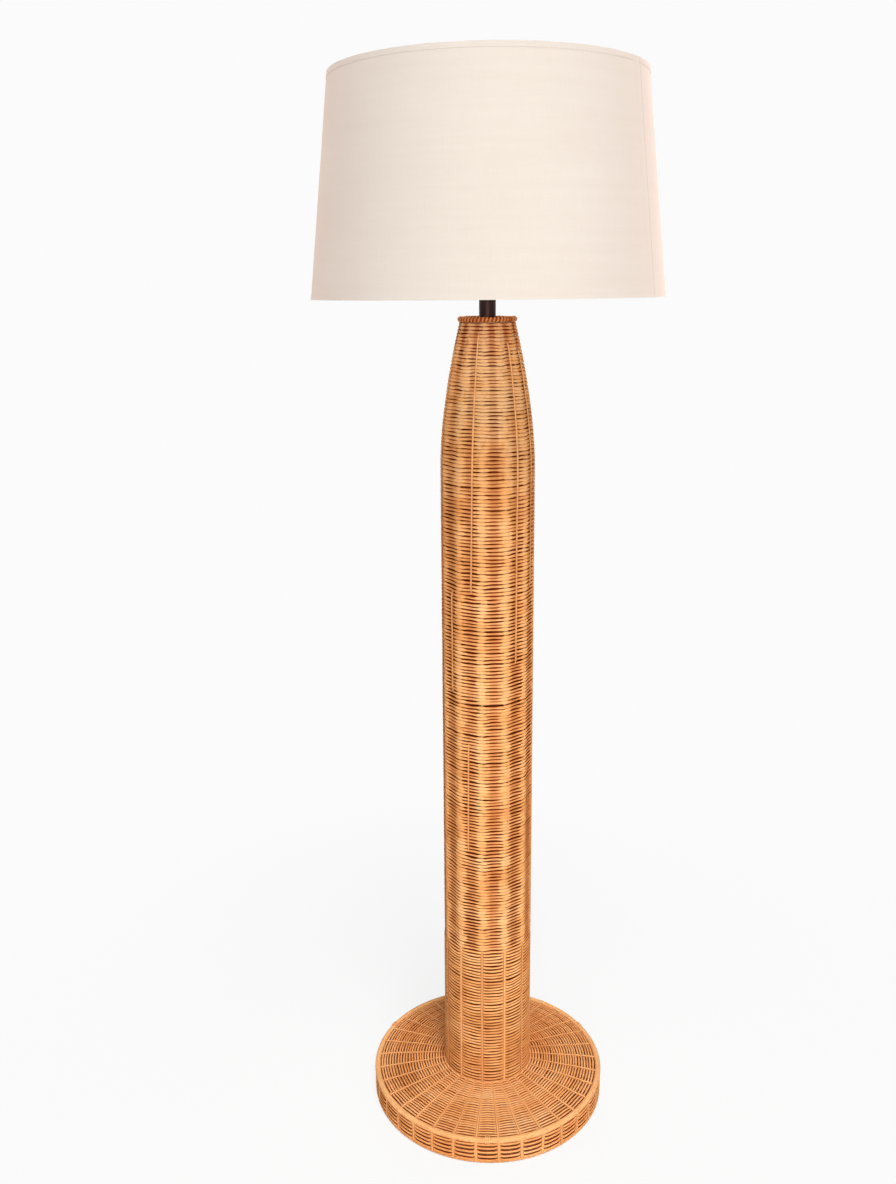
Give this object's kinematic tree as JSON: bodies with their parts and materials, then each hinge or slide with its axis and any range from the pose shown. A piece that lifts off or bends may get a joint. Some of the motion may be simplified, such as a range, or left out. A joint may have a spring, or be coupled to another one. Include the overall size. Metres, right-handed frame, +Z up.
{
  "type": "rattan floor lamp",
  "caption": "Floor lamp with a woven rattan base and column on a weighted pedestal, a short dark stem and a tapered linen drum shade held by a harp and finial.",
  "frame": {"origin": "on the floor under the middle of the base, in the lamp's vertical axis", "axes": "+Z up along the column, -Y to the front, +X to the right seen from the front"},
  "size_m": [0.508, 0.508, 1.627],
  "materials": {
    "rattan_weave": "natural honey rattan core, woven, matt with a faint sheen",
    "rattan_stakes": "split rattan stakes and spokes that show as light bands between the strands",
    "rim_cane": "smooth round cane, light honey, satin",
    "bronze": "dark oil-rubbed bronze, satin",
    "steel": "zinc-plated steel",
    "black_iron": "black painted iron",
    "brass": "plain brass, satin",
    "nickel": "nickel-plated brass",
    "linen": "ivory slub linen on a translucent backing, matt",
    "white_wire": "white painted wire",
    "plywood": "raw birch plywood",
    "felt": "dark charcoal felt",
    "phenolic": "black moulded phenolic",
    "fibre": "brown vulcanised fibre",
    "dark_pulp": "moulded pulp, stained very dark brown, matt",
    "opal_glass": "opal white glass, satin"
  },
  "bodies": {
    "stand": {"felt_pad": "felt", "base_board": "plywood", "base_weight": "black_iron", "lower_washer": "steel", "lower_nut": "steel", "upper_washer": "steel", "upper_nut": "steel", "centre_pipe": "steel", "cord_bushing": "phenolic", "wall_weaver": "rattan_weave", "wall_stakes": "rattan_stakes", "rim_pole": "rim_cane", "base_top_weave": "rattan_weave", "base_top_spokes": "rattan_stakes", "column_weave": "rattan_weave", "column_stakes": "rattan_stakes", "column_core": "dark_pulp", "neck_border": "rattan_weave", "neck_cap": "plywood", "stem_tube": "bronze", "stem_collar": "bronze", "harp": "brass", "harp_saddle": "brass", "holder_cap": "brass", "holder_shell": "brass", "holder_liner": "fibre", "holder_core": "phenolic", "thread_sleeve": "nickel"},
    "switch": {"switch_knob": "phenolic"},
    "bulb": {"bulb_cap": "nickel", "bulb_glass": "opal_glass"},
    "sleeve_left": {"harp_sleeve_left": "brass"},
    "sleeve_right": {"harp_sleeve_right": "brass"},
    "shade": {"shade_panel": "linen", "shade_top_hem": "linen", "shade_bottom_hem": "linen", "shade_bottom_ring": "white_wire", "shade_top_ring": "white_wire", "shade_fitter": "white_wire", "fitter_disc": "white_wire"},
    "finial": {"finial": "bronze"}
  },
  "joints": [
    {"name": "switch_turn", "type": "hinge", "parent": "stand", "child": "switch", "pos_m": [0, -0.0203, 1.3953], "axis": [0, -1, 0], "continuous": true},
    {"name": "shade_turn", "type": "hinge", "parent": "stand", "child": "shade", "pos_m": [0, 0, 1.6073], "axis": [0, 0, 1], "continuous": true},
    {"name": "finial_lift", "type": "slide", "parent": "stand", "child": "finial", "axis": [0, 0, 1], "range_m": [0, 0.012]},
    {"name": "bulb_lift", "type": "slide", "parent": "stand", "child": "bulb", "axis": [0, 0, 1], "range_m": [0, 0.028]},
    {"name": "sleeve_left_lift", "type": "slide", "parent": "stand", "child": "sleeve_left", "axis": [0, 0, 1], "range_m": [0, 0.012]},
    {"name": "sleeve_right_lift", "type": "slide", "parent": "stand", "child": "sleeve_right", "axis": [0, 0, 1], "range_m": [0, 0.012]}
  ]
}
